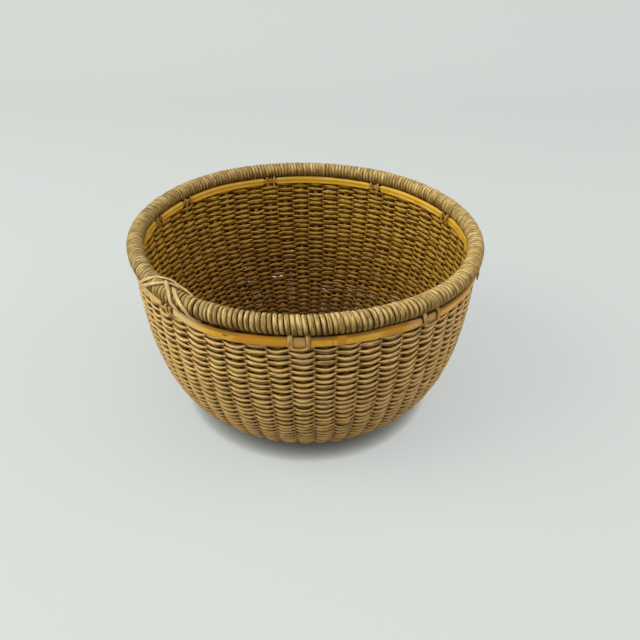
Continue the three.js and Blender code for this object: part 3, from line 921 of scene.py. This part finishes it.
def strip_strand(start, end, radius, middle, height, facing, waists, tail):
    """A strip along the rim between two azimuths, rounded off at both ends, drawn in by the
    strands that tie it wherever it has a waist, and narrow along a tail at its far end. It
    faces out with 1 and in with -1."""
    azimuth = np.linspace(start, end, int(abs(end - start) / 0.5) + 2)
    rounding = np.degrees(STRIP_ROUNDING / radius)
    ends = np.array([start, start + rounding * 0.35, start + rounding])
    azimuth = np.unique(np.concatenate([azimuth, ends, start + end - ends]))
    reach = arc(np.minimum(azimuth - start, end - azimuth), radius)
    full = np.clip(1 - (1 - np.clip(reach / STRIP_ROUNDING, 0, 1)) ** 2, 0.02, 1) ** 0.5
    drawn_in = np.zeros(len(azimuth))
    for waist in waists:
        away = arc(np.abs((azimuth - waist + 180) % 360 - 180), radius)
        drawn_in = np.maximum(drawn_in, smooth_step(away, *TIE_REACH))
    wander = 0.00025 * np.sin(np.radians(azimuth) * 9 + radius * 900)
    taper = 1 - 0.16 * smooth_step(reach, *END_REACH)
    to_end = arc(end - azimuth, radius)
    narrow = 1 - 0.38 * smooth_step(to_end, tail, tail * 0.3) if tail else 1
    height = (height + wander) * taper * (1 - 0.52 * drawn_in) * narrow
    points = at_polar(azimuth, radius + 0.0008 * drawn_in, middle + 0.6 * wander)
    up = np.broadcast_to([0.0, 0.0, 1.0], points.shape)
    return points, up, facing * outwards(azimuth), height * full, STRIP_THICKNESS * np.sqrt(full)


# Each length of strip: the stakes between which it runs, how far it lies above the strips'
# middle, its height, the length of its tail, how much of the top rows' lift it takes, its finish
STRIPS = {
    "outer_strip_front": (-6.08, 5.45, -0.0004, OUTER_STRIP_HEIGHT, 0.0, 1.0, "front"),
    "outer_strip_back": (5.67, 48.1, -0.0004, OUTER_STRIP_HEIGHT, 0.045, 1.0, "back"),
    "inner_strip_back": (17, 39, 0.0, INNER_STRIP_HEIGHT, 0.0, 1.0, "inner"),
    "inner_strip_front": (-16, 17, 0.0013, INNER_STRIP_HEIGHT + 0.0006, 0.0, 0.4, "inner"),
}
# How many degrees short of those stakes it ends
STRIP_END_GAP = 0.15


def lay_strips(finishes):
    lashed = [stake_azimuth(stake) for stake, _, _ in LASHINGS]
    for name, (first, last, above, height, tail, lifted, finish) in STRIPS.items():
        if name.startswith("outer"):
            radius, facing, waists, groove = OUTER_STRIP_RADIUS, 1, (), 0.0
        else:
            radius, facing, waists, groove = INNER_STRIP_RADIUS, -1, lashed, INNER_STRIP_GROOVE
        strand = strip_strand(
            stake_azimuth(first) + STRIP_END_GAP, stake_azimuth(last) - STRIP_END_GAP,
            radius, STRIP_MIDDLE + above, height, facing, waists, tail)
        sizes = {"Sides": 24, "Squareness": 3.0, "Groove": groove, "Dome": STRIP_DOME}
        piece = laid(name + "_peel", [strand], finishes[finish], sizes)
        fit_piece(piece, "split_peel", name, lifted=lifted)


# Each lashing's stake, how far it sits to the right of it, and its breadth, usually 1
LASHINGS = [(0, -0.0015, 0.97), (6, -0.0016, 1.1), (11, 0.0, 0.9), (17, 0.0, 0.8), (23, 0.0, 0.8),
            (30, 0.0, 0.8), (36, 0.0, 0.8), (39, 0.0, 0.8), (43, 0.0, 0.9), (49, -0.0042, 0.38)]
# Half a lashing, from behind the inner strip to the lowest point outside, in millimetres:
# beside its middle, out from the basket's middle, up, and which way its face looks, out and up
LASHING_ROUTE = [
    (-4.3, 128.4, 133.0, -1, 0), (-4.3, 128.3, 137.0, -1, 0), (-4.5, 128.9, 140.3, -0.8, 0.6),
    (-5.0, 131.5, 141.2, 0, 1), (-5.6, 136.0, 141.2, 0.2, 1), (-5.8, 138.1, 139.8, 0.9, 0.4),
    (-5.8, 138.3, 137.0, 1, 0), (-5.7, 138.3, 134.4, 1, 0), (-5.0, 138.4, 132.7, 1, 0),
    (-3.0, 138.4, 131.7, 1, 0), (0.0, 138.3, 131.4, 1, 0),
]


def lash(material):
    """The lashings. The one beside the tie is narrow, and less tall than the others."""
    half = np.array(LASHING_ROUTE) * [0.001, 0.001, 0.001, 1, 1]
    other_half = half[-2::-1] * [-1, 1, 1, 1, 1]
    for order, (stake, shift, scale) in enumerate(LASHINGS):
        name = f"lashing_{order + 1:02d}"
        rng = np.random.default_rng(40 + order)
        route = np.concatenate([half, other_half])
        route[:, 0] = route[:, 0] * scale + shift
        tall = 1.0 if scale > 0.5 else 0.75
        route[:, 2] = LASHING_MIDDLE + (route[:, 2] - LASHING_MIDDLE) * tall
        route[1:-1, :3] += rng.uniform(-LASHING_STRAY, LASHING_STRAY, (len(route) - 2, 3))
        route = smooth_route(route, 5)
        places = stake_azimuth(stake) + np.degrees(route[:, 0] / OUTER_STRIP_RADIUS)
        points = at_polar(places, route[:, 1], route[:, 2])
        through = outwards(places) * route[:, 3:4]
        through[:, 2] = route[:, 4]
        leg = smooth_step(points[:, 2], 0.132, 0.1345) * smooth_step(route[:, 1], 0.134, 0.137)
        width = LASHING_WIDTH + LASHING_LEG_WIDENING * leg * min(scale, 1)
        strand = ribbon(points, through, width, LASHING_THICKNESS)
        fit_piece(laid(name + "_strand", [strand], material), "binding_cane", name)


# The tie's strands: azimuth and angle round the roll, and distance from its middle in millimetres
TIE_STRANDS = [
    [(-54.2, -40, 7.2), (-53.3, -10, 7.6), (-51.6, 22, 7.2), (-50.0, 50, 6.8), (-49.0, 78, 6.5),
     (-48.3, 102, 6.5), (-47.0, 116, 7.0), (-44.8, 125, 8.2), (-42.6, 128, 8.7), (-40.2, 128, 8.3),
     (-36.9, 126, 7.8), (-34.7, 124, 7.2), (-33.0, 118, 6.6)],
    [(-54.0, -45, 7.1), (-53.0, -22, 7.5), (-51.4, -4, 7.4), (-49.6, 14, 7.2), (-47.3, 42, 7.2),
     (-45.2, 67, 7.2), (-43.7, 91, 7.2), (-42.1, 107, 7.3), (-40.6, 118, 7.4), (-38.8, 126, 7.2),
     (-37.4, 129, 6.7)],
    [(-44.6, 108, 7.2), (-43.0, 93, 8.3), (-41.5, 79, 8.2), (-39.6, 59, 7.7),
     (-37.9, 31, 7.5), (-36.9, 10, 7.5), (-35.6, -5, 7.5), (-34.3, -28, 7.5), (-32.2, -44, 7.5),
     (-30.4, -60, 7.3)],
    [(-40.2, 98, 6.6), (-38.6, 82, 7.4), (-37.3, 68, 7.5), (-35.1, 42, 7.4), (-33.3, 22, 7.4),
     (-31.6, 2, 7.4), (-30.4, -30, 7.4), (-29.2, -48, 7.4), (-28.0, -62, 7.2)],
]


def ribbon(points, through, width, thickness):
    """A flat strand along points, with its face towards the given directions."""
    tangent = np.gradient(points, axis=0)
    across = unit(np.cross(tangent, through))
    return points, across, unit(np.cross(across, tangent)), width, thickness


def smooth_route(points, steps):
    """A smooth line through given points."""
    points = np.asarray(points, float)
    padded = np.concatenate([2 * points[:1] - points[1:2], points, 2 * points[-1:] - points[-2:-1]])
    share = np.linspace(0, 1, steps, endpoint=False)[:, None]
    spans = []
    for before, a, b, after in zip(padded, padded[1:], padded[2:], padded[3:]):
        spans.append(0.5 * (2 * a + (b - before) * share
                            + (2 * before - 5 * a + 4 * b - after) * share ** 2
                            + (3 * a - before - 3 * b + after) * share ** 3))
    return np.concatenate([*spans, points[-1:]])


def tie_over(route):
    """A strand laid over the roll, a little narrower towards both ends."""
    places = smooth_route(route, 6)
    reach = places[:, 2] * 0.001
    roll = np.radians(places[:, 1])
    points = at_polar(
        places[:, 0], RIM_RADIUS + reach * np.cos(roll), RIM_HEIGHT + reach * np.sin(roll))
    through = outwards(places[:, 0]) * np.cos(roll)[:, None]
    through[:, 2] = np.sin(roll)
    share = np.linspace(0, 1, len(points))
    full = 0.55 + 0.45 * smooth_step(np.minimum(share, 1 - share), 0.0, 0.18)
    return ribbon(points, through, TIE_WIDTH * full, TIE_THICKNESS * full)


def tie_rim(material):
    piece = laid("crossed_tie_strands", [tie_over(route) for route in TIE_STRANDS], material)
    fit_piece(piece, "binding_cane", "crossed_tie", lifted=0.0)


# Floor, light and camera
def set_stage():
    """The floor, bent up into a backdrop. Where it is seen it glows pale, and less and warmer
    where the basket keeps the room's light off it."""
    floor_mesh = bpy.data.meshes.new("floor")
    half, back, bend, top = 3.0, 0.9, 0.5, 2.4
    curve = [(back + bend * math.sin(a), bend - bend * math.cos(a))
             for a in np.linspace(0, math.pi / 2, 24)]
    profile = [(-half, 0.0), *curve, (back + bend, top)]
    points = [(x, y, z) for y, z in profile for x in (-half, half)]
    faces = [(2 * i, 2 * i + 1, 2 * i + 3, 2 * i + 2) for i in range(len(profile) - 1)]
    floor_mesh.from_pydata(points, [], faces)
    floor_mesh.polygons.foreach_set("use_smooth", [True] * len(faces))
    floor_sheet = in_scene("floor", floor_mesh)
    material, tree, surface = shader("pale_floor", 0.9)
    surface.inputs["Base Color"].default_value = linear("7c7f7d")
    rays = add_node(tree, "ShaderNodeLightPath")
    camera, glossy, clear_through = (
        Number(tree, rays.outputs[f"Is {way} Ray"]) for way in ("Camera", "Glossy", "Transmission"))
    open_sky = add_node(tree, "ShaderNodeAmbientOcclusion", {"Distance": 0.0165}, samples=8)
    clear = Number(tree, open_sky.outputs["AO"])
    glow = smaller(camera + glossy + clear_through, 1.0) * clear ** 2.1 * 0.64
    tint = mixed(tree, clear, linear("b8a880"), linear("d9dcd9"))
    feed(tree, surface.inputs["Emission Strength"], glow)
    feed(tree, surface.inputs["Emission Color"], tint)
    surface.inputs["Specular IOR Level"].default_value = 0.1
    floor_mesh.materials.append(material)


def look_rotation(back):
    back = np.asarray(back, float) / np.linalg.norm(back)
    right = np.cross([0, 0, 1], back)
    right /= np.linalg.norm(right)
    up = np.cross(back, right)
    return Matrix([[right[i], up[i], back[i], 0] for i in range(3)] + [[0, 0, 0, 1]])


# Each lamp's place, size, power and tint, and the place at which they all aim
LAMPS = {
    "window_left": ((-1.5, -0.4, 1.4), 1.6, 32, (0.93, 1.0, 0.94)),
    "window_right": ((1.6, -0.1, 1.3), 1.5, 11, (1.0, 1.0, 0.98)),
    "overhead": ((0.0, -0.15, 2.2), 1.8, 13, (1.0, 1.0, 0.98)),
    "front": ((0.0, -2.0, 0.9), 1.4, 7, (1.0, 1.0, 0.98)),
}
LAMP_AIM = (0, 0, 0.05)


def light_scene():
    world = bpy.data.worlds.new("studio")
    world.use_nodes = True
    room = world.node_tree.nodes["Background"]
    room.inputs["Color"].default_value = (0.94, 0.98, 0.97, 1)
    room.inputs["Strength"].default_value = 0.50
    bpy.context.scene.world = world
    for name, (place, size, power, tint) in LAMPS.items():
        lamp = bpy.data.lights.new(name, "AREA")
        lamp.shape = "DISK"
        lamp.size, lamp.energy, lamp.color = size, power, tint
        away = look_rotation(np.subtract(place, LAMP_AIM))
        in_scene(name, lamp).matrix_world = Matrix.Translation(place) @ away
    bpy.context.scene.view_settings.view_transform = "Standard"


def set_camera():
    """The photograph's place and angle, with a square frame in mind."""
    lens = bpy.data.cameras.new("camera")
    photo_width, focal_length = 640, 620
    lens.sensor_width = 36
    lens.lens = lens.sensor_width * focal_length / photo_width
    right = (0.99988, 0.00886, 0.01287)
    up = (-0.01562, 0.56689, 0.82364)
    back = (0.0, -0.82374, 0.56696)
    place = (0.01250, -0.44998, 0.37119)
    camera = in_scene("camera", lens)
    camera.matrix_world = Matrix([*zip(right, up, back, place), (0, 0, 0, 1)])
    bpy.context.scene.camera = camera


WEAVER = weaver_tree()
BINDING = binding_tree()
LAID = laid_tree()

set_camera()
set_stage()
light_scene()

weaver_finish = cane(
    "weaver_cane", WEAVER_TONES, WEAVE_CREVICE_SHADE, fibred=0.8, lit_side=1.0, painted_light=0.80)
binding_finish = cane(
    "binding_cane", BINDING_TONES, ROLL_CREVICE_SHADE, fibred=0.6, lit_side=-1.0, painted_light=0.40)
stake_finish = cane("stake_cane", STAKE_TONES, STAKE_PAINTED_SHADE)
lashing_finish = cane("lashing_cane", LASHING_TONES, ROLL_CREVICE_SHADE, fibred=0.6)
tie_finish = cane("tie_cane", TIE_TONES, ROLL_CREVICE_SHADE, fibred=0.3)
strip_finishes = {
    "front": peel("outer_front_peel", OUTER_PEEL_TONES, "a4642a", PAINTED_LIGHT_LINES_OUTSIDE + FRONT_MARKS),
    "back": peel("outer_back_peel", OUTER_PEEL_TONES, "a4642a", PAINTED_LIGHT_LINES_OUTSIDE + BACK_MARKS),
    "inner": peel("inner_peel", INNER_PEEL_TONES, "a06a10", PAINTED_LIGHT_LINES_INSIDE),
}

weave_wall(weaver_finish)
weave_base(weaver_finish)
lay_spokes(stake_finish)
wind_rim(binding_finish)
lay_strips(strip_finishes)
lash(lashing_finish)
tie_rim(tie_finish)

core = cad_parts["rim_core"]
core.data.materials.clear()
core.data.materials.append(plain_cane("core_cane", "4a3a20", "6b5530"))
